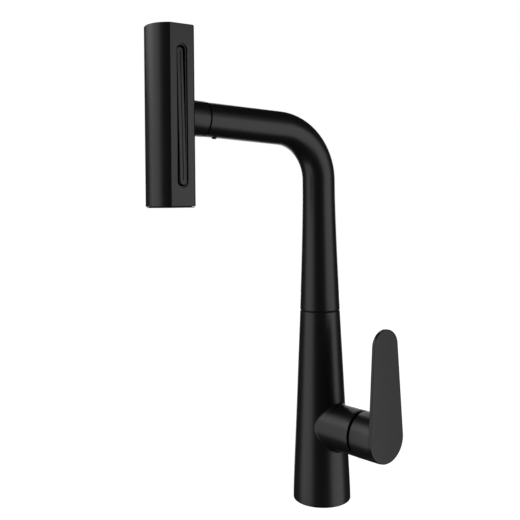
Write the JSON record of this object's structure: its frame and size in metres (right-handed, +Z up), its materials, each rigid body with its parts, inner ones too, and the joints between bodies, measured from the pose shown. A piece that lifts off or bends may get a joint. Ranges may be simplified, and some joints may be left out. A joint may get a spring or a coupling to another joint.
{
  "type": "pull down kitchen faucet",
  "caption": "Tall single-lever kitchen sink mixer with a conical body, swivelling bent spout, side lever and a pull-out wand spray head docked upright on the arm's end.",
  "frame": {"origin": "centre of the base's underside, on the worktop and on the spout's swivel axis", "axes": "+Z up along the column; -Y along the arm towards the wand head; the lever's boss stands out on the +X side, 8.4 degrees towards +Y"},
  "size_m": [0.1026, 0.1936, 0.491],
  "materials": {
    "black_coat": "satin matte black powder coat",
    "black_plastic": "matte moulded",
    "rubber": "matte",
    "brass": "machined",
    "steel": "machined",
    "white_plastic": "moulded",
    "grey_plastic": "moulded",
    "ceramic": "lapped",
    "ferrite": "sintered",
    "braid": "woven nylon"
  },
  "bodies": {
    "base": {"base_body": "black_coat", "base_gasket": "rubber", "lower_slide_bush": "white_plastic", "upper_slide_bush": "white_plastic", "seam_washer": "rubber", "mounting_shank": "brass", "worktop_washer": "rubber", "clamp_plate": "steel", "mounting_nut": "brass", "clamp_screw_front": "steel", "clamp_screw_rear": "steel", "hot_inlet_nipple": "brass", "cold_inlet_nipple": "brass", "mixed_outlet_nipple": "brass", "cartridge_seal": "rubber", "cartridge_base": "grey_plastic", "fixed_disc": "ceramic", "cartridge_housing": "grey_plastic", "cartridge_nut": "brass", "trim_sleeve": "black_plastic", "lower_hose": "braid", "hose_coupling": "brass"},
    "spout": {"spout_tube": "black_coat", "swivel_journal": "brass", "journal_clip": "steel", "journal_o_ring": "rubber", "spout_set_screw": "steel", "dock_insert": "black_plastic", "dock_magnet": "ferrite", "dock_seal": "rubber", "dock_screw": "black_coat", "upper_hose": "braid"},
    "head": {"head_shell": "black_coat", "neck_collar": "black_coat", "neck_nut": "brass", "catch_ring": "steel", "hose_end_fitting": "brass", "check_valve": "white_plastic", "front_hose": "braid", "head_waterway": "grey_plastic", "rocker_pin": "steel", "spray_face": "black_plastic", "nozzle_mat": "rubber", "aerator": "grey_plastic", "aerator_screen": "steel"},
    "rocker": {"spray_rocker": "black_coat"},
    "diverter": {"diverter_spool": "steel"},
    "rotor": {"cartridge_rotor": "white_plastic", "stem_pin": "steel"},
    "disc": {"moving_disc": "ceramic", "disc_carrier": "white_plastic"},
    "lever": {"lever_handle": "black_coat", "lever_stem": "brass", "lever_grub_screw": "steel", "index_plug": "black_plastic"}
  },
  "joints": [
    {"name": "spout_swivel", "type": "hinge", "parent": "base", "child": "spout", "pos_m": [0, 0, 0.1647], "axis": [0, 0, 1], "range_deg": [-67, 83]},
    {"name": "head_pull_out", "type": "slide", "parent": "spout", "child": "head", "axis": [0, -0.9988, 0.0499], "range_m": [0, 0.45]},
    {"name": "rocker_tilt", "type": "hinge", "parent": "head", "child": "rocker", "pos_m": [0.0128, -0.1423, 0.32465], "axis": [0, 1, 0], "range_deg": [0, 4]},
    {"name": "diverter_slide", "type": "slide", "parent": "head", "child": "diverter", "axis": [0, 0, 1], "range_m": [0, 0.00054]},
    {"name": "lever_temperature", "type": "hinge", "parent": "base", "child": "rotor", "pos_m": [0.03136, 0.00463, 0.0658], "axis": [0.9893, 0.1461, 0], "range_deg": [-50, 50]},
    {"name": "lever_flow", "type": "hinge", "parent": "rotor", "child": "lever", "pos_m": [0.03136, 0.00463, 0.0658], "axis": [-0.1461, 0.9893, 0], "range_deg": [0, 25]},
    {"name": "disc_shift", "type": "slide", "parent": "rotor", "child": "disc", "axis": [0, 0, 1], "range_m": [0, 0.0018]}
  ],
  "couplings": [
    {"joint": "diverter_slide", "follows": "rocker_tilt", "m_per_rad": 0.0076},
    {"joint": "disc_shift", "follows": "lever_flow", "m_per_rad": 0.00397}
  ]
}
